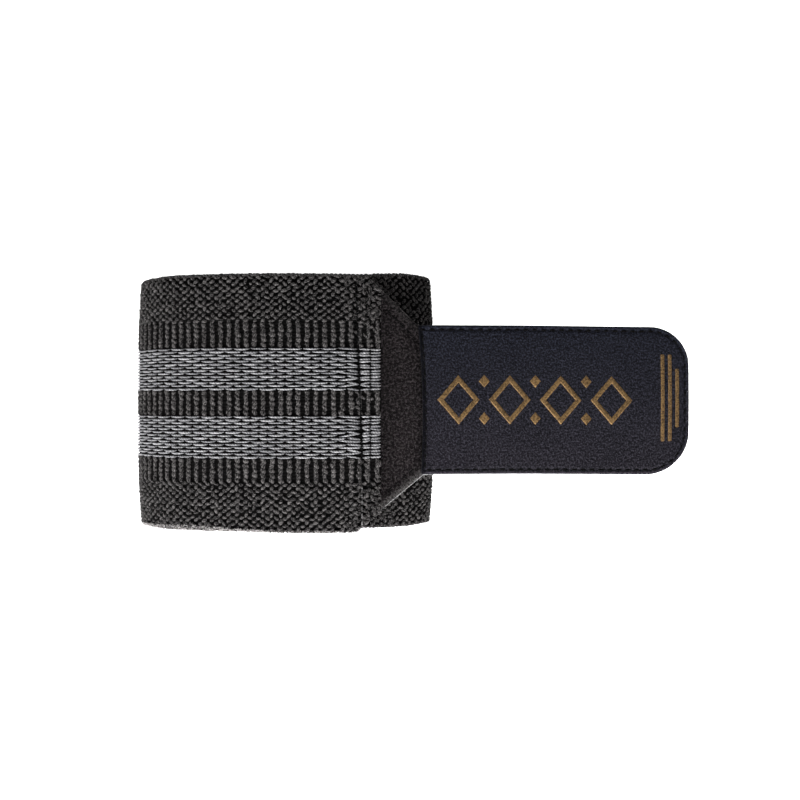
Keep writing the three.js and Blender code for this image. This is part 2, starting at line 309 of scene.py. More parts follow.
def bandSurface(along, across, height):
    # the master line carried across the band, lifted along its outward normal, with drawn-in bends
    height = height + pinch(along, across) * (height > band["pinchFloor"])
    along = np.maximum(along, band["cutEnd"])  # what would pass the cut end stops there
    x, z, outX, outZ = [np.interp(along, line["s"], line[key]) for key in ("x", "z", "outX", "outZ")]
    x, z = x + outX * height, z + outZ * height
    share = 2 * across / band["width"]
    bend = smooth(np.abs(x), band["bendStart"], band["rollHalfWidth"])
    edge = np.minimum(np.abs(share), 1.02) ** 3
    y = across * (1 - 2 * band["bendNarrowing"] / band["width"] * bend ** 2)
    drawn = band["endDraw"] * (1 - smooth(along, 0, band["endDrawReach"])) * (across > 0)
    under = smooth(along, *band["underSpan"])
    y = y * (1 - drawn) + band["innerShift"] * under
    comes, goes = band["slackSpans"]
    slack = band["lowerSlack"] * smooth(along, *comes) * (1 - smooth(along, *goes))
    y = y - slack * np.clip(-share, 0, 1) ** 3
    y = y + band["looseEdge"] * under * smooth(x, *band["looseSpan"]) * np.clip(share, 0, 1) ** 3
    x = x - np.sign(x) * band["bendTaper"] * edge * bend
    return np.stack([x + shiftX, y, np.maximum(z + shiftZ, 0.02)], -1)


def endSurface(x, y, height):
    # the plane of the loose end: x along it from where it leaves the roll, height from the band's face
    slope = band["leadSlope"]
    worldX = leavePoint[0] + x * math.cos(slope) + height * math.sin(slope)
    worldZ = leavePoint[1] - x * math.sin(slope) + height * math.cos(slope)
    return np.stack([worldX + shiftX, y + 0 * x, worldZ + shiftZ], -1)


# Materials

def colour(red, green, blue):
    return (red, green, blue, 1.0)


def grey(shade):
    return colour(shade, shade, shade)


def mathNode(operation, swapped=False):
    # a method that feeds a wire and another value to a new math node, the wire first or second
    def method(wire, other=0.0):
        first, second = (other, wire) if swapped else (wire, other)
        return wire.nodes.add("ShaderNodeMath", {"operation": operation}, {0: first, 1: second})

    return method


class Wire:
    # a node's output socket that takes part in arithmetic
    def __init__(self, nodes, socket):
        self.nodes = nodes
        self.socket = socket

    __add__, __radd__ = mathNode("ADD"), mathNode("ADD", swapped=True)
    __sub__, __rsub__ = mathNode("SUBTRACT"), mathNode("SUBTRACT", swapped=True)
    __mul__, __rmul__ = mathNode("MULTIPLY"), mathNode("MULTIPLY", swapped=True)
    __lt__, __gt__ = mathNode("LESS_THAN"), mathNode("GREATER_THAN")
    sin, abs = mathNode("SINE"), mathNode("ABSOLUTE")


class Nodes:
    # a node tree that grows by one node a call; constants go straight onto the sockets
    def __init__(self, tree):
        self.tree = tree

    def add(self, kind, settings=None, inputs=None, output=0):
        node = self.tree.nodes.new(kind)
        for key, value in (settings or {}).items():
            setattr(node, key, value)
        for key, value in (inputs or {}).items():
            self.feed(node.inputs[key], value)
        return Wire(self, node.outputs[output])

    def feed(self, socket, value):
        if isinstance(value, Wire):
            self.tree.links.new(value.socket, socket)
        else:
            socket.default_value = value

    def split(self, vector):
        parts = self.add("ShaderNodeSeparateXYZ", inputs={0: vector})
        return [Wire(self, socket) for socket in parts.socket.node.outputs]

    def noise(self, vector, scale, detail=3.0, rough=0.6):
        inputs = {"Vector": vector, "Scale": scale, "Detail": detail, "Roughness": rough}
        return self.add("ShaderNodeTexNoise", inputs=inputs)

    def ramp(self, value, *stops):
        shaded = self.add("ShaderNodeValToRGB", inputs={0: value})
        elements = shaded.socket.node.color_ramp.elements
        while len(elements) < len(stops):
            elements.new(0.5)
        for element, (position, shade) in zip(elements, stops):
            element.position, element.color = position, grey(shade)
        return shaded

    def blend(self, factor, first, second):
        return self.add("ShaderNodeMix", {"data_type": "RGBA"}, {0: factor, 6: first, 7: second}, 2)


class Finish(Nodes):
    # a material with one Principled shader
    def __init__(self, name, **constants):
        self.material = bpy.data.materials.new(name)
        self.material.use_nodes = True
        super().__init__(self.material.node_tree)
        self.shader = self.tree.nodes["Principled BSDF"]
        for key, value in constants.items():
            self.set(key.replace("_", " "), value)

    def set(self, key, value):
        self.feed(self.shader.inputs[key], value)

    def paint(self, factor, first, second):
        self.set("Base Color", self.blend(factor, first, second))

    def relief(self, height, strength=1.0):
        # a bump whose height is in millimetres
        inputs = {"Height": height, "Distance": mm, "Strength": strength}
        self.set("Normal", self.add("ShaderNodeBump", inputs=inputs))

    def coordinates(self):
        # the piece's own map, in millimetres
        return self.add("ShaderNodeUVMap", {"uv_map": "clothUv"})

    def tone(self):
        return self.add("ShaderNodeAttribute", {"attribute_name": "tone"}, output=2)


yarnFinish = {
    "twistPitch": 0.85,  # of the ridges that the twisted yarn shows
    "twistLean": 0.7,
    "fleckScale": 1.5,
    "fleckStops": ((0.40, 0.0), (0.66, 1.0)),
    "ridgeHeight": 0.16,
    "fleckHeight": 0.14,
}


def yarn(name, dark, light, roughness=0.8, gloss=0.05, flecks=0.75):
    # twisted yarn: leaning ridges along the thread, pale flecks and a different tone for each thread
    finish = Finish(name, Roughness=roughness, Specular_IOR_Level=gloss)
    spot = finish.coordinates()
    along, around = finish.split(spot)[:2]
    wander = finish.noise(spot, 0.8, 2.0) * 3.0
    phase = (along + around * yarnFinish["twistLean"]) * (2 * math.pi / yarnFinish["twistPitch"])
    ridge = (phase + wander).sin() * 0.5 + 0.5
    crumbs = finish.noise(spot, yarnFinish["fleckScale"], 3.0, 0.7)
    fleck = finish.ramp(crumbs, *yarnFinish["fleckStops"])
    finish.paint(ridge * 0.35 + fleck * flecks + finish.tone() * 0.3 - 0.3, dark, light)
    finish.relief(ridge * yarnFinish["ridgeHeight"] + fleck * yarnFinish["fleckHeight"])
    return finish.material


blackYarn = yarn("blackYarn", colour(0.0040, 0.0038, 0.0038), colour(0.088, 0.083, 0.082), flecks=0.9)
greyYarn = yarn("greyYarn", colour(0.07, 0.07, 0.075), colour(0.41, 0.405, 0.415), 0.65, 0.2, 0.5)
stitchYarn = yarn("stitchYarn", grey(0.0006), grey(0.0022), 0.6, 0.03)
# painted highlight: pale yarn for the lower edges and the stretch of stitches that the key lamp below lights
paleHighlightYarn = yarn("paleHighlightYarn", grey(0.012), colour(0.19, 0.185, 0.185), 0.6)
# painted highlight: the palest yarn, for the lower hem's edge where it runs along the tab
hemHighlightYarn = yarn("hemHighlightYarn", grey(0.035), grey(0.28), 0.6, 0.1, 0.9)
# painted highlight: pale yarn for the loops on the band's lower edge, which the key lamp below lights
rimHighlightYarn = yarn("rimHighlightYarn", colour(0.08, 0.076, 0.075), colour(0.45, 0.43, 0.42), 0.7, 0.05, 0.6)


# The weave, across the band from its upper edge to its lower one

weave = {
    "ribPitch": 2.72,
    "ribEdges": ((17.2, 24.8), (-3.9, 3.9), (-24.8, -17.2)),
    "greyEdges": ((3.9, 17.2), (-17.2, -3.9)),
    "basketEdges": ((24.8, 39.2), (-39.2, -24.8)),
    "greyRows": 14,
    "basketRow": 1.06,
    "knotPitch": 1.5,
    "floorDepth": 0.62,  # of the ground cloth under the threads
    "floorWave": 0.16,
    "clipLengths": (4.7, 7.6),  # of the end corners cut off at the upper and the lower edge
    "clipSlopes": (0.98, 0.83),
    "gather": 0.42,  # of every other long thread towards its neighbour at a stitch row
    "unrestSpan": (6.5, 10.5),  # how far from the cut end the weave is pulled about
    "fuzzCount": 1300,
    "fuzzShareAtEnd": 0.22,
    "stitchPitch": 2.1,
    "stitchMargin": 2.2,
}


def halfAt(along, side):
    # half the band's width on one side, less where its end corner is clipped
    upper, lower = weave["clipLengths"]
    clip = np.maximum(np.where(side > 0, upper, lower) - along, 0)
    return band["width"] / 2 - clip * np.where(side > 0, *weave["clipSlopes"])


def groundFinish():
    # the ground cloth: near black under the outer turn's threads, painted shade for the gaps between them,
    # and the same weave in low relief on the inner turns
    finish = Finish("groundCloth", Roughness=0.9, Specular_IOR_Level=0.0)
    spot = finish.coordinates()
    along, across = finish.split(spot)[:2]
    bricks = {
        "Vector": spot, "Color1": grey(1), "Color2": grey(0.7), "Mortar": grey(0), "Scale": 1.0,
        "Mortar Size": 0.13, "Mortar Smooth": 0.6, "Brick Width": 2 * weave["ribPitch"], "Row Height": 0.97,
    }
    floats = finish.add("ShaderNodeTexBrick", {"offset": 0.5}, bricks)
    inner = along > line["firstTurnEnd"]
    low, high = weave["greyEdges"][0]
    stripe = ((across.abs() - (low + high) / 2).abs() < (high - low) / 2) * inner
    crumbs = finish.noise(spot, 0.9, 4.0, 0.7)
    # painted shade: the outer turn's ground is painted near black, darker than the same cloth on the inner
    # turns
    groundInPaintedShade = finish.blend(crumbs, grey(0.0012), colour(0.0050, 0.0047, 0.0047))
    wound = finish.blend(crumbs, grey(0.006), colour(0.04, 0.038, 0.038))
    dark = finish.blend(inner, groundInPaintedShade, wound)
    finish.paint(stripe, dark, finish.blend(floats, grey(0.02), colour(0.24, 0.24, 0.245)))
    rows = (across * (2 * math.pi / weave["basketRow"])).sin() * 0.5
    finish.relief(floats * stripe * 0.3 + crumbs * 0.25 + rows * 0.15 * (1 - stripe), 0.8)
    return finish.material


def makeGround():
    # the closed strip under the threads: a grid along and across, with a low rib for each rib pitch
    along = np.arange(0, band["length"], weave["ribPitch"] / 4)
    shares = np.sin(np.linspace(-0.5, 0.5, 19) * math.pi)[::-1]
    s = np.broadcast_to(along[:, None], (len(along), len(shares)))
    y = (halfAt(s, shares[None, :]) - 0.35) * shares[None, :]
    wave = weave["floorWave"] * np.cos(2 * math.pi * (s / weave["ribPitch"] - 0.5))
    lift = wave + 0.3 * (s > line["firstTurnEnd"] - 1)
    rim = 0.75 * (1 - np.sqrt(1 - np.abs(shares) ** 14))[None, :]
    return slab("band_ground", groundFinish(), bandSurface, s, y,
                -weave["floorDepth"] + lift - rim, -band["thickness"] + 0.35 - wave + rim)


def sewnUnrest(s):
    # 1 over the stitch rows near the cut end, 0 past them: the weave there is pulled about
    return 1 - smooth(s, *weave["unrestSpan"])


def strays(rng, count):
    # each call draws one normal stray of the given size for each thread
    return lambda size: rng.normal(0, size, count)


def makeRibs(name, low, high, seed):
    # one spindle across the band for each rib: the dark core that shows between its knots
    s = np.arange(weave["ribPitch"] / 2, line["firstTurnEnd"], weave["ribPitch"])
    return threads(
        name, blackYarn, bandSurface, s, (low + high) / 2, math.pi / 2,
        halfLength=(high - low) / 2 + 0.2, halfWidth=0.66, halfHeight=0.6,
        lift=-0.8, sections=9, sides=8, fullness=9, seed=seed)


def makeKnots(name, low, high, seed):
    # short fat loops stacked up each rib, leaning one way or the other
    perRib = int(round((high - low) / weave["knotPitch"]))
    ribs = int(line["firstTurnEnd"] / weave["ribPitch"])
    rib, step = np.divmod(np.arange(ribs * perRib), perRib)
    s = (rib + 0.5) * weave["ribPitch"]
    stray = strays(np.random.default_rng(seed), len(s))
    unrest = sewnUnrest(s)
    thin = 1 - 0.2 * unrest
    s = s + stray(0.09) * (1 + 4.5 * unrest)
    y = low + (step + 0.5) * (high - low) / perRib + stray(0.1) * (1 + 2 * unrest)
    lean = (-0.42 + stray(0.3)) * (1 + 0.8 * unrest)
    return threads(
        name, blackYarn, bandSurface, s, y, math.pi / 2 + lean,
        halfLength=1.08 + stray(0.1), halfWidth=(0.75 + stray(0.08)) * thin,
        halfHeight=(0.62 + stray(0.06)) * thin,
        lift=-0.58, arch=0.12, sections=4, sides=7, fullness=2.2, seed=seed)


def floatSpans(row, across):
    # where a row's threads start and end: at the cut end, the two stitch rows and every second valley
    length = 2 * weave["ribPitch"]
    dives = np.arange(length * (2 + 0.5 * (row % 2)), line["firstTurnEnd"], length)
    marks = np.concatenate([[band["cutEnd"]], [rowPlace(0, across), rowPlace(1, across)], dives])
    return np.stack([marks[:-1], marks[1:]], -1)


def makeFloats(name, low, high, seed):
    # long threads that pass over two ribs and dive at the next valley, staggered from row to row
    rows = weave["greyRows"]
    pitch = (high - low) / rows
    spans = [floatSpans(row, low + (row + 0.5) * pitch) for row in range(rows)]
    row = np.concatenate([np.full(len(part), k) for k, part in enumerate(spans)])
    start, end = np.concatenate(spans).T
    nearRow = band["stitchRows"][0]
    start, end = np.where(start == nearRow, start - 0.2, start), np.where(end == nearRow, end + 0.2, end)
    tucked = row % 2
    stray = strays(np.random.default_rng(seed), len(row))
    s = (start + end) / 2 + stray(0.05)
    unrest = sewnUnrest(start)
    lean = stray(0.012) + unrest * stray(0.07)

    def gathered(along, across, height):
        near = bell(along, rowPlace(1, across), 1.9) + 0.35 * bell(along, rowPlace(0, across), 0.9)
        pull = weave["gather"] * near * (0.5 + 0.5 * np.sin(math.pi * (across - low) / pitch))
        return bandSurface(along, across - pull, height)

    return threads(
        name, greyYarn, gathered, s, low + (row + 0.5 + 0.06 * tucked) * pitch + stray(0.035), lean,
        halfLength=(end - start) / 2 - 0.06 + stray(0.05),
        halfWidth=np.where(tucked, 0.285, 0.325) + stray(0.02), halfHeight=0.34,
        lift=-0.62, arch=np.where(tucked, 0.55, 0.62), bow=(-0.26 + stray(0.05)) * (1 - 0.7 * unrest),
        sections=7, sides=7, fullness=3.5, seed=seed)


def makeBasket(name, low, high, seed):
    # short nubs in rows, every other row moved by half a rib
    rng = np.random.default_rng(seed)
    rows = int(round((high - low) / weave["basketRow"]))
    pitch = (high - low) / rows
    perRow = int(line["firstTurnEnd"] / weave["ribPitch"]) + 1
    row, step = np.divmod(np.arange(rows * perRow), perRow)
    s = (step - 0.5 + 0.5 * (row % 2)) * weave["ribPitch"]
    under = smooth(s, 150, 190)
    unrest = 1 + 1.4 * sewnUnrest(s) + 0.5 * under
    stray = strays(rng, len(s))
    s = s + stray(0.12) * unrest
    y = low + (row + 0.5) * pitch + stray(0.09) * unrest
    inside = (np.abs(y) < halfAt(s, y) - 0.9) & (s > -0.4)
    s, y, unrest, under = s[inside], y[inside], unrest[inside], under[inside]
    stray = strays(rng, len(s))
    return threads(
        name, blackYarn, bandSurface, s, y, np.where(row[inside] % 2, 0.15, -0.75) + stray(0.38) * unrest,
        halfLength=0.95 + stray(0.13) - 0.1 * under, halfWidth=0.60 + stray(0.08),
        halfHeight=(0.54 + stray(0.09)) * (1 - 0.3 * under),
        lift=-0.5 + 0.08 * under, arch=0.16, sections=4, sides=7, fullness=1.7, seed=seed)


def makeSelvedge(name, side, seed):
    # the weft turns back at the woven edge in little nubs, on every turn of the roll
    s = np.arange(0.7, band["length"] - 0.5, weave["ribPitch"] / 2)
    stray = strays(np.random.default_rng(seed), len(s))
    return threads(
        name, blackYarn, bandSurface, s, side * (halfAt(s, side) - 0.58 + stray(0.05)), stray(0.15),
        halfLength=0.86, halfWidth=0.60 + stray(0.04), halfHeight=0.95 + stray(0.06),
        lift=-1.2, sections=4, sides=8, seed=seed)


def makeFuzz():
    # loose fibre ends over the basket weave: by the cut end, and where the first turn comes round under it
    rng = np.random.default_rng(57)
    count = weave["fuzzCount"]
    atEnd = rng.random(count) < weave["fuzzShareAtEnd"]
    s = np.where(atEnd, 0.6 + 11 * rng.random(count) ** 1.3, line["firstTurnEnd"] - 36 * rng.random(count))
    low, high = weave["basketEdges"][0]
    y = (low + (high - low) * rng.random(count)) * rng.choice((-1, 1), count)
    kept = np.abs(y) < halfAt(s, y) - 0.8
    s, y = s[kept], y[kept]
    stray = strays(rng, len(s))
    return threads(
        "band_fuzz", blackYarn, bandSurface, s, y, rng.random(len(s)) * math.pi,
        halfLength=0.5 + 0.3 * rng.random(len(s)), halfWidth=0.13, halfHeight=0.12,
        lift=-0.12 + stray(0.1), arch=0.22, bow=stray(0.25), sections=4, sides=4, seed=58)


def makeFrayedRim(name, material, *spans):
    # fine loops that stand out of the band's lower woven edge, over stretches of start, end and step
    rng = np.random.default_rng(47)
    s = np.concatenate([np.arange(*span) for span in spans])
    stray = strays(rng, len(s))
    s = s + stray(0.2)
    inward = rng.random(len(s)) ** 1.2 * (0.7 + 1.1 * bell(s, 62, 15))
    return threads(
        name, material, bandSurface, s, -(halfAt(s, -1) - 0.05 - inward), stray(0.8),
        halfLength=0.34 + stray(0.06), halfWidth=0.13, halfHeight=0.16,
        lift=-0.55 + 0.75 * np.minimum(inward, 0.7), arch=0.12, sections=3, sides=5, seed=48)


def makeBandStitches():
    # two rows of stitches across the band near its cut end: dark, but one stretch of them catches the light
    pieces = []
    margin = weave["stitchMargin"]
    for k, row in enumerate(band["stitchRows"]):
        y = np.arange(margin - float(halfAt(row, -1)), float(halfAt(row, 1)) - margin, weave["stitchPitch"])
        pale = (y < weave["basketEdges"][1][1]) & (k == 1)
        kinds = (("dark", ~pale, stitchYarn, 0.7 + 0.3 * k, -0.3), ("pale", pale, paleHighlightYarn, 0.9, -0.1))
        for word, chosen, material, halfLength, lift in kinds:
            if chosen.any():
                pieces.append(threads(
                    f"band_stitches_{word}_{k + 1}", material, bandSurface, rowPlace(k, y[chosen]),
                    y[chosen], math.pi / 2, halfLength, halfWidth=0.15 + 0.07 * k, halfHeight=0.22,
                    lift=lift, arch=0.3 + 0.2 * k, sections=6, sides=8, seed=61 + k))
    return pieces


def makeBandThreads():
    kinds = (
        ("ribs", makeRibs, weave["ribEdges"], 11),
        ("knots", makeKnots, weave["ribEdges"], 51),
        ("floats", makeFloats, weave["greyEdges"], 21),
        ("basket", makeBasket, weave["basketEdges"], 31),
        ("selvedge", makeSelvedge, ((1,), (-1,)), 41),
    )
    pieces = [maker(f"band_{word}_{k + 1}", *stretch, seed + k)
              for word, maker, stretches, seed in kinds for k, stretch in enumerate(stretches)]
    outerSpans = (7.0, 90.0, 0.3), (90.0, 125.0, 0.6), (35.0, 85.0, 0.12)
    return [
        *pieces, makeFuzz(), *makeBandStitches(),
        # the loops on the lower edge are painted pale, a painted highlight, on the outer turn and the inner
        # turns alike
        makeFrayedRim("band_rim_loops_outer", rimHighlightYarn, *outerSpans),
        makeFrayedRim("band_rim_loops_inner", paleHighlightYarn, (125.0, band["length"] - 1, 0.9)),
    ]


ground = makeGround()
bandPieces = makeBandThreads()
print("band woven")


# The end panel

panel = {
    "start": 16.0,
    "slants": {1: (20.3, 39.8, 36.05, 24.4), -1: (17.3, -39.8, 38.1, -22.65)},  # from and to, by side
    "sewnUnder": 5.0,  # how much of it lies under the band
    "tabRoot": 37.8,
    "tongueEnd": 45.8,
    "tongueHalf": 21.7,
    "offset": 0.9,
    "top": -2.62,
    "thickness": 1.15,
    "hemWidth": 3.4,
    "hemFold": 0.35,
    "hemPuff": 0.26,
    "hemGroove": 0.16,
    "hemSpan": (20.0, 24.5),  # over which the hems rise out from under the band
    "hemPaintedHighlight": (0.12, 0.42),  # painted highlight: how much paler the upper and the lower hem are painted
    "rimWidth": 0.6,
    "dentPlace": 33.0,  # a soft hollow before the tab
    "dentWidth": 2.2,
    "dentDepth": 0.28,
    "stitchPitch": 2.9,
    "edgeStep": 0.7,
}


def slant(side):
    # the slanted edge on one side: its start, its run, its fall and its length
    startX, startY, endX, endY = panel["slants"][side]
    run, fall = endX - startX, endY - startY
    return startX, startY, run, fall, math.hypot(run, fall)


def panelSides(x):
    # upper and lower edge of the panel: full width, then slanted to the tab's width, then the tongue
    edges = []
    for side in (1, -1):
        startX, startY, run, fall = slant(side)[:4]
        edge = startY + fall * np.clip((x - startX) / run, 0, 1)
        tongue = smooth(x, startX + run, startX + run + 0.6)
        edges.append(edge + (side * panel["tongueHalf"] + panel["offset"] - edge) * tongue)
    return edges


def hemDistance(x, y, side):
    # distance inwards from the slanted edge of one side
    startX, startY, run, fall, length = slant(side)
    return side * (startY + fall * (x - startX) / run - y) * run / length


def panelFinish():
    # brushed cloth: short tangled fibres with pale specks
    finish = Finish("panelCloth", Roughness=0.85, Specular_IOR_Level=0.03)
    spot = finish.coordinates()
    tangle = finish.noise(spot, 1.1, 5.0, 0.75)
    specks = finish.ramp(finish.noise(spot, 1.45, 2.0, 0.7), (0.48, 0.0), (0.58, 1.0))
    patches = finish.noise(spot, 0.08, 2.0)
    mix = finish.ramp(tangle, (0.45, 0.0), (0.56, 0.5)) + specks * 0.75 + patches * 0.4 - 0.36
    tint = finish.blend(mix, colour(0.0016, 0.0014, 0.0015), colour(0.0275, 0.0235, 0.0245))
    # the tone attribute paints the puffed hems paler: painted highlight
    finish.paint(finish.tone() * (mix + 0.3), tint, colour(0.085, 0.082, 0.08))
    finish.relief(tangle * 0.8 + specks * 0.25)
    return finish.material


def makePanel():
    # a grid between the panel's two sides, puffed over the folded hems and drawn in along their stitches
    x = np.linspace(panel["start"], panel["tongueEnd"], 110)
    upper, lower = panelSides(x)
    shares = np.linspace(-1, 1, 170)
    shares = shares * (1.25 - 0.25 * shares ** 2)
    y = (upper + lower)[:, None] / 2 + (upper - lower)[:, None] / 2 * shares[None, :]
    x = np.broadcast_to(x[:, None], y.shape)
    below = hemDistance(x, y, -1)
    distance = np.minimum(hemDistance(x, y, 1), below)
    hem = (x < panel["tabRoot"] + 0.5) * (distance > -0.1)
    arch = np.sqrt(1 - rolled(distance, 2))
    puff = panel["hemPuff"] * (arch * (1 - smooth(distance, 2.0, panel["hemWidth"])))
    groove = panel["hemGroove"] * bell(distance, panel["hemWidth"], 0.5)
    dent = bell(x, panel["dentPlace"], panel["dentWidth"]) * (0.6 + 0.4 * np.cos(y / 6.5))
    lift = hem * (puff - groove) * smooth(x, *panel["hemSpan"]) - panel["dentDepth"] * dent
    rim = 0.5 * rolled(distance, panel["rimWidth"]) * hem
    fold = panel["hemFold"] * hem * (1 - smooth(distance, 3.0, 3.6))
    # painted highlight: the puffed hems catch the light, the lower one most
    toneWithPaintedLight = np.where(below < distance + 1, *panel["hemPaintedHighlight"][::-1]) * bell(distance, 0.8, 1.0)
    return slab("panel_cloth", panelFinish(), endSurface, x, y, panel["top"] + lift - rim,
                panel["top"] - panel["thickness"] - fold + rim, tone=toneWithPaintedLight)


def makePanelStitches():
    # a stitch row along each slanted hem
    pieces = []
    for side, name in ((1, "upper"), (-1, "lower")):
        startX, startY, run, fall, length = slant(side)
        walk = np.arange(4.5, length + 2.2, panel["stitchPitch"])
        x = startX + walk * run / length + side * fall / length * panel["hemWidth"]
        y = startY + walk * fall / length - side * run / length * panel["hemWidth"]
        seen = (x > 25.5) & (x < panel["tabRoot"] - 1.5)
        pieces.append(threads(
            f"panel_stitches_{name}", stitchYarn, endSurface, x[seen], y[seen], math.atan2(fall, run),
            halfLength=1.15, halfWidth=0.22, halfHeight=0.2,
            lift=panel["top"] - 0.25, arch=0.2, sections=6, sides=8, seed=71))
    return pieces


def makePanelEdges():
    # the turned edge along each slanted hem; the lower one is painted paler, a painted highlight where the
    # key lamp below lights it, and runs on a little along the tab
    pieces = []
    parts = (
        (1, "upper", 0.2, 2.4, 21.5, blackYarn),
        (-1, "lower", 0.2, 2.4, 12.0, paleHighlightYarn),
        (-1, "lower_pale", 0.19, 12.0, 29.6, hemHighlightYarn),
    )
    for side, name, radius, first, last, material in parts:
        startX, startY, run, fall, length = slant(side)
        walk = np.arange(first, last, panel["edgeStep"])
        slanted = np.minimum(walk, length)
        x = startX + slanted * run / length + walk - slanted
        y = startY + slanted * fall / length - side * 0.22
        angle = np.where(walk < length, math.atan2(fall, run), 0.0)
        pieces.append(threads(
            f"panel_edge_{name}", material, endSurface, x, y, angle,
            halfLength=0.85, halfWidth=radius, halfHeight=0.3,
            lift=panel["top"] - 0.36 + 0.3 * smooth(-x, -26, -23), sections=4, sides=6, seed=75))
    return pieces


panelCloth = makePanel()
panelPieces = makePanelStitches() + makePanelEdges()
print("panel sewn")


# The closure tab

tab = {
    "length": 83.7,
    "width": 46.4,
    "cornerUpper": 12.0,
    "cornerLower": 13.5,
    "rootCurve": 0.9,
    "rootCloser": 0.55,  # how much nearer its seam runs to the root
    "rootShift": -0.9,
    "rootSlant": -0.5,
    "rootSpan": 22.0,
    "tipBulge": 0.4,
    "tipSpan": 20.0,
    "sideBend": 0.35,  # the tip drifts a little towards the lower side
    "top": -0.4,
    "bottom": -2.4,
    "rimRound": 0.75,
    "seamInset": 1.45,
    "seamDepth": 0.26,
    "seamWidth": 0.42,
    "stitchPitch": 2.8,
    "scallop": 0.11,
    "waveHeight": 0.10,
}


def tabRim(x, y):
    # distance inwards from the outline of a plate with two round corners at its tip
    corner = np.where(y > 0, tab["cornerUpper"], tab["cornerLower"])
    half = tab["width"] / 2
    overX = x - (tab["length"] - corner)
    overY = np.abs(y) - (half - corner)
    straight = np.minimum(np.minimum(tab["length"] - x, half - np.abs(y)), x + tab["rootCloser"])
    return np.where((overX > 0) & (overY > 0), corner - np.hypot(overX, overY), straight)


def tabPlace(x, y, height):
    # the hollow root and the slightly bulging tip are bent out of the plain outline
    middle = 1 - (2 * y / tab["width"]) ** 2
    askew = tab["rootShift"] + tab["rootSlant"] * 2 * y / tab["width"]
    root = (tab["rootCurve"] * middle + askew) * (1 - smooth(x, 0, tab["rootSpan"]))
    tip = tab["tipBulge"] * middle * smooth(x, tab["length"] - tab["tipSpan"], tab["length"])
    droop = tab["sideBend"] * smooth(x, 25, 80)
    return endSurface(panel["tabRoot"] + x + root + tip, y + panel["offset"] - droop, height)


def tabHalves(x):
    # the outline's half width at x, on the upper and on the lower side
    halves = []
    for corner in (tab["cornerUpper"], tab["cornerLower"]):
        over = np.clip(x - (tab["length"] - corner), 0, corner)
        halves.append(tab["width"] / 2 - corner + np.sqrt(np.maximum(corner ** 2 - over ** 2, 0)))
    return halves


def tabGrid(rows, columns, inset=0.0, start=0.0):
    # rows close together at the root and the tip, columns close together at the two sides
    walk = np.linspace(0, 1, rows)
    walk = walk - 0.06 * np.sin(2 * math.pi * walk)
    x = start + (tab["length"] - start) * np.clip(walk, 0, 1)
    upper, lower = tabHalves(x)
    share = np.linspace(-1, 1, columns)
    share = share * (1.3 - 0.3 * share ** 2)
    y = np.where(share[None, :] > 0, upper[:, None] * share, lower[:, None] * share)
    x = np.broadcast_to(x[:, None], y.shape)
    middle = (start + tab["length"]) / 2
    x = middle + (x - middle) * (1 - 2 * inset / tab["length"])
    return x, y * (1 - 2 * inset / tab["width"])


def leatherFinish():
    # fine pebbled microfibre: small cells, pale dust in the pores and soft worn patches
    finish = Finish("tabLeather", Specular_IOR_Level=0.04)
    spot = finish.coordinates()
    cells = finish.add("ShaderNodeTexVoronoi", inputs={"Vector": spot, "Scale": 1.7})
    grain = finish.noise(spot, 1.5, 3.0, 0.7)
    patches = finish.noise(spot, 0.06, 3.0)
    specks = finish.ramp(finish.noise(spot, 1.75, 2.0, 0.7), (0.47, 0.0), (0.59, 1.0))
    mix = finish.ramp(grain, (0.45, 0.0), (0.56, 0.45)) + patches * 0.3 + specks * 0.7 - 0.29
    # painted light: lighter and browner towards the lower side, which the key lamp below lights, bluer
    # towards the upper side
    lower = 0.5 - finish.split(spot)[1] * 0.022
    pale = finish.blend(lower, colour(0.0128, 0.0142, 0.0216), colour(0.0196, 0.0176, 0.0224))
    # the tone attribute: paler on the rubbed rim, and painted shade along the root
    finish.paint(mix + finish.tone(), colour(0.0008, 0.0009, 0.0017), pale)
    finish.set("Roughness", 0.55 + grain * 0.2 + patches * 0.12)
    finish.relief(cells * 0.18 + grain * 0.22, 0.8)
    return finish.material


def leatherHeight(x, y):
    # the top face: a rolled rim, a stitched groove inside it and puffs between the stitches
    rim = tabRim(x, y)
    roll = tab["rimRound"]
    edge = roll - np.sqrt(np.maximum(roll ** 2 - (roll - np.clip(rim, 0, roll)) ** 2, 0))
    groove = tab["seamDepth"] * bell(rim, tab["seamInset"], tab["seamWidth"])
    walk = np.where(np.abs(y) > tab["width"] / 2 - 6, x, y)
    puff = tab["scallop"] * np.cos(2 * math.pi * walk / tab["stitchPitch"]) * bell(rim, 0.8, 0.7)
    wave = tab["waveHeight"] * np.sin(x / 9.0) * np.cos(y / 7.0) * smooth(rim, 2, 8)
    return tab["top"] - edge - groove + puff + wave


def makeTab():
    # a grid that follows the outline's half widths, its top shaped by the distance from the rim
    x, y = tabGrid(240, 116)
    rim = tabRim(x, y)
    # paler where the rim is rubbed; darker along the root, painted shade where the tab meets the panel
    toneWithPaintedLight = 0.28 * bell(rim, 0.55, 0.4) * smooth(x, 1, 3) - 0.6 * (1 - smooth(x, 0.4, 1.3))
    return slab("tab_leather_plate", leatherFinish(), tabPlace, x, y,
                leatherHeight(x, y), tab["bottom"] + 0.5 * rolled(rim, 0.6), tone=toneWithPaintedLight)


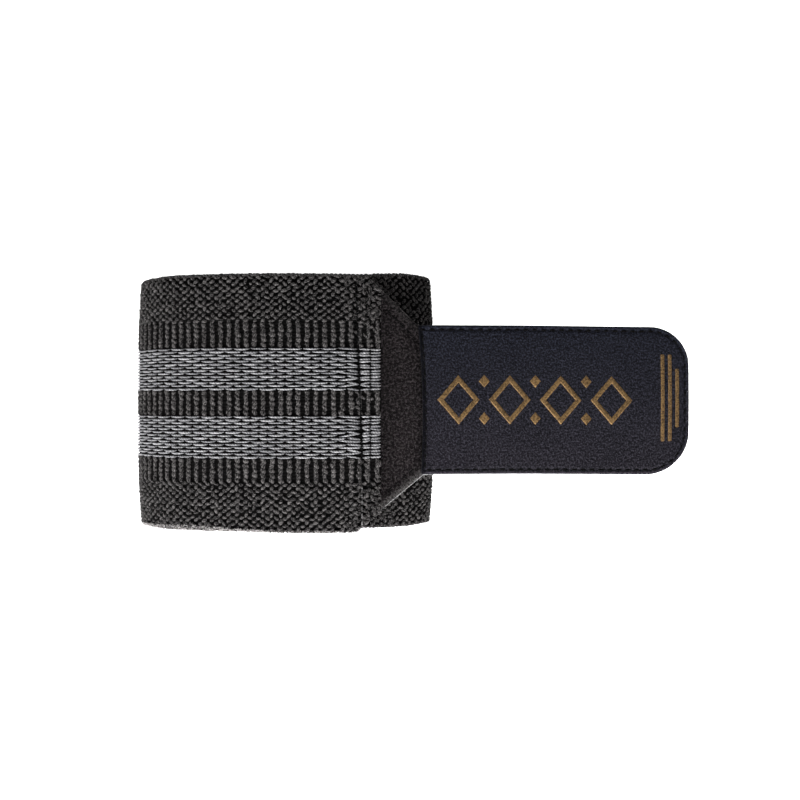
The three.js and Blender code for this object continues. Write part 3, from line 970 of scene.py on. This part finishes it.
def tabLoop(inset):
    # the outline set in: lower side, round corner, tip, round corner, upper side and root
    half = tab["width"] / 2 - inset
    right = tab["length"] - inset
    low, high = tab["cornerLower"] - inset, tab["cornerUpper"] - inset
    turn = np.linspace(0, math.pi / 2, 60)
    sine, cosine = np.sin(turn), np.cos(turn)
    root = inset - tab["rootCloser"]
    x = np.concatenate([[root], right - low + low * sine, right - high + high * cosine, [root, root]])
    y = np.concatenate([[-half], low - half - low * cosine, half - high + high * sine, [half, -half]])
    return x, y


def makeTabStitches():
    # stitches spaced evenly along the outline set in to the groove
    x, y = tabLoop(tab["seamInset"])
    walk = np.concatenate([[0], np.cumsum(np.hypot(np.diff(x), np.diff(y)))])
    count = int(walk[-1] / tab["stitchPitch"])
    spots = (np.arange(count) + 0.5) * walk[-1] / count

    def placeAt(spot):
        return np.array([np.interp(spot, walk, x), np.interp(spot, walk, y)])

    step = 0.4
    turnX, turnY = placeAt(spots + step) - placeAt(spots - step)
    return threads(
        "tab_stitches", stitchYarn, tabPlace, *placeAt(spots), np.arctan2(turnY, turnX),
        halfLength=0.95, halfWidth=0.25, halfHeight=0.2,
        lift=tab["top"] - 0.3, arch=0.26, sections=6, sides=8, seed=81)


tabPlate = makeTab()
tabStitches = makeTabStitches()
print("tab sewn")


# Gold foil on the tab

foil = {
    "rise": 0.10,  # over the leather
    "edgeFall": 0.16,
    "sink": 0.25,
    "barWidth": 1.3,
    "barCorner": 0.3,
    "barSpacing": 2.25,
    "barLengths": (27.2, 27.2, 18.3),
    "barsFromTip": 8.4,
    "barsOffset": 0.9,
    "lozengeCount": 4,
    "rowStart": 4.4,
    "rowLength": 61.6,
    "lozengeHeight": 15.6,
    "lozengeGap": 2.6,
    "stroke": 1.7,
    "studWidth": 3.4,
    "studHeight": 4.4,
    "studOffset": 5.8,
}


def foilFinish():
    # thin worn film: dull gold with small dark pits and softer patches
    finish = Finish("goldFoil", Metallic=0.85)
    spot = finish.coordinates()
    pits = finish.noise(spot, 1.6, 3.0, 0.75)
    patches = finish.noise(spot, 0.3, 3.0)
    mix = finish.ramp(pits * 0.8 + patches * 0.2, (0.40, 0.0), (0.56, 1.0))
    finish.paint(mix, colour(0.035, 0.021, 0.009), colour(0.145, 0.088, 0.036))
    finish.set("Roughness", 0.5 - patches * 0.1 + pits * 0.12)
    finish.relief(pits * 0.08, 0.6)
    return finish.material


goldFoil = foilFinish()


def film(name, x, y, edge, ring=False):
    # a thin slab on the leather whose rim rolls down; edge runs from 0 on the rim to 1 inside
    face = leatherHeight(x, y)
    rise = foil["rise"] - foil["edgeFall"] * rolled(edge, 1)
    return slab(name, goldFoil, tabPlace, x, y, face + rise, face - foil["sink"], ring)


def makeBar(name, middle, length):
    # rows up the bar; its half width closes to round ends
    walk = np.sin(np.linspace(-0.5, 0.5, 90) * math.pi)[::-1]
    radius, corner = foil["barWidth"] / 2, foil["barCorner"]
    over = np.clip(np.abs(walk) * length / 2 - (length / 2 - corner), 0, corner)
    half = radius - corner + np.sqrt(np.maximum(corner ** 2 - over ** 2, 1e-4))
    share = np.linspace(-1, 1, 7)
    x = middle + half[:, None] * share[None, :]
    y = foil["barsOffset"] + np.broadcast_to(walk[:, None] * length / 2, x.shape)
    return film(name, x, y, (1 - np.abs(share))[None, :] * 4)


def makeLozenge(name, middle, spacing):
    # a closed ring of four sides, scaled from its open middle out to its rim
    width = spacing - foil["lozengeGap"]
    height = foil["lozengeHeight"]
    inRadius = width * height / (2 * math.hypot(width, height))
    opening = 1 - foil["stroke"] / inRadius
    whole, part = np.divmod(np.arange(0, 4, 1 / 14)[::-1], 1)
    fromAngle, toAngle = whole * math.pi / 2, (whole + 1) * math.pi / 2
    x = np.cos(fromAngle) * (1 - part) + np.cos(toAngle) * part
    y = np.sin(fromAngle) * (1 - part) + np.sin(toAngle) * part
    share = np.linspace(1, 0, 7)
    scale = opening + (1 - opening) * share
    gridX = middle + width / 2 * x[:, None] * scale[None, :]
    gridY = height / 2 * y[:, None] * scale[None, :]
    return film(name, gridX, gridY, np.minimum(share, 1 - share)[None, :] * 8, ring=True)


def makeStud(name, middle, offset):
    # rows along the stud; its half height falls evenly to both points
    walk = np.linspace(-1, 1, 21)
    half = foil["studHeight"] / 2 * np.maximum(1 - np.abs(walk), 0.01)
    share = np.linspace(-1, 1, 9)
    y = offset + half[:, None] * share[None, :]
    x = np.broadcast_to(middle + walk[:, None] * foil["studWidth"] / 2, y.shape)
    return film(name, x, y, (1 - np.abs(share))[None, :] * 3 * np.minimum(1, 8 * half)[:, None])


def makeFoil():
    pieces = []
    for k, length in enumerate(foil["barLengths"]):
        middle = tab["length"] - foil["barsFromTip"] + k * foil["barSpacing"]
        pieces.append(makeBar(f"film_bar_{k + 1}", middle, length))
    spacing = (foil["rowLength"] + foil["lozengeGap"]) / foil["lozengeCount"]
    for k in range(foil["lozengeCount"]):
        middle = foil["rowStart"] + (spacing - foil["lozengeGap"]) / 2 + k * spacing
        pieces.append(makeLozenge(f"film_lozenge_{k + 1}", middle, spacing))
        if k + 1 < foil["lozengeCount"]:
            for side, word in ((1, "upper"), (-1, "lower")):
                place = middle + spacing / 2, side * foil["studOffset"]
                pieces.append(makeStud(f"film_stud_{word}_{k + 1}", *place))
    return pieces


films = makeFoil()
print("foil pressed")


# The hook pad under the tab

hooks = {
    "start": 7.55,
    "inset": 0.9,
    "backTop": -2.45,
    "backBottom": -3.05,
    "pitchX": 1.45,
    "pitchY": 1.25,
    "margin": 2.0,
}


def nylonFinish():
    finish = Finish("hookNylon", Roughness=0.45, Specular_IOR_Level=0.4)
    grain = finish.noise(finish.coordinates(), 1.8, 3.0)
    finish.paint(grain, colour(0.005, 0.005, 0.006), colour(0.022, 0.022, 0.025))
    finish.relief(grain * 0.1, 0.5)
    return finish.material


def makeHooks():
    # a thin backing that follows the tab's outline, with rows of short bent hooks under it
    nylon = nylonFinish()
    x, y = tabGrid(120, 60, hooks["inset"], hooks["start"])
    backing = slab("hook_backing", nylon, tabPlace, x, y, hooks["backTop"], hooks["backBottom"])
    margin = hooks["margin"]
    x, y = [grid.ravel() for grid in np.meshgrid(
        np.arange(hooks["start"] + margin, tab["length"] - margin, hooks["pitchX"]),
        np.arange(-tab["width"] / 2 + margin, tab["width"] / 2 - margin, hooks["pitchY"]))]
    inside = tabRim(x, y) > margin
    bristles = threads(
        "hook_bristles", nylon, tabPlace, x[inside], y[inside], 0.0,
        halfLength=0.42, halfWidth=0.14, halfHeight=0.24,
        lift=hooks["backBottom"] - 0.05, arch=-0.45, sections=3, sides=5, seed=91)
    return backing, bristles


hookBacking, hookBristles = makeHooks()
print("hook pad made")


# Every piece goes on one body, and the imported parts they replace are hidden

soleBody = "root"


def settle(slotName, node, *pieces):
    # every piece goes on the one body and the node's imported part is hidden; the slot name is not used
    for piece in pieces:
        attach(piece, soleBody)
    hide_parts(node)


settle("elastic", "elastic_band", ground, *bandPieces)
settle("panel", "end_panel", panelCloth, *panelPieces)
settle("tab_leather", "closure_tab", tabPlate, tabStitches)
settle("hook_tape", "hook_pad", hookBacking, hookBristles)
for piece in films:
    settle("foil", piece.name.replace("film", "foil"), piece)


# The table and the studio light

studio = {
    "floorHalf": 1500.0,
    "worldStrength": 1.0,
    "skyShade": 0.30,  # of the world above the bright horizon
    "horizonTop": 0.36,
    "floorGlow": 0.62,
    "lamps": {  # place, target, size and power
        "keyLamp": ((0, -200, 140), (0, 0, 25), (560, 120), 3.9),
        "sideLamp": ((-620, -60, 260), (-40, 0, 20), (420, 420), 5.6),
        "topLamp": ((60, 140, 760), (0, 0, 20), (600, 600), 1.2),
    },
}


def makeFloor():
    half = studio["floorHalf"] * mm
    mesh = bpy.data.meshes.new("table_top")
    corners = [(-half, -half, 0), (half, -half, 0), (half, half, 0), (-half, half, 0)]
    mesh.from_pydata(corners, [], [(0, 1, 2, 3)])
    finish = Finish("paleTable", Roughness=0.9, Specular_IOR_Level=0.1,
                    Emission_Color=grey(1), Emission_Strength=studio["floorGlow"])
    spot = finish.add("ShaderNodeTexCoord", output=3)  # in the object's own space
    finish.paint(finish.noise(spot, 40.0, 2.0), grey(0.90), grey(0.93))
    mesh.materials.append(finish.material)
    newObject("table_top", mesh)


def makeLamp(name, place, target, size, power):
    data = bpy.data.lights.new(name, "AREA")
    data.shape = "RECTANGLE"
    data.size, data.size_y = size[0] * mm, size[1] * mm
    data.energy = power
    lamp = newObject(name, data)
    lamp.location = [distance * mm for distance in place]
    lamp.rotation_euler = (Vector(target) - Vector(place)).to_track_quat("-Z", "Y").to_euler()


def makeWorld():
    # white at the horizon, shading to a soft grey overhead
    world = bpy.data.worlds.new("studioWorld")
    world.use_nodes = True
    sky = Nodes(world.node_tree)
    height = sky.split(sky.add("ShaderNodeTexCoord"))[2]
    top = studio["horizonTop"]
    shade = sky.ramp(height, (0.0, 1.0), (top * 0.8, 1.0), (top, studio["skyShade"]))
    background = sky.tree.nodes["Background"].inputs
    sky.feed(background["Color"], shade)
    sky.feed(background["Strength"], studio["worldStrength"])
    bpy.context.scene.world = world


def makeStudio():
    makeFloor()
    makeWorld()
    for name, settings in studio["lamps"].items():
        makeLamp(name, *settings)
    view = bpy.context.scene.view_settings
    view.view_transform, view.look = "Standard", "None"


makeStudio()
print("studio lit")
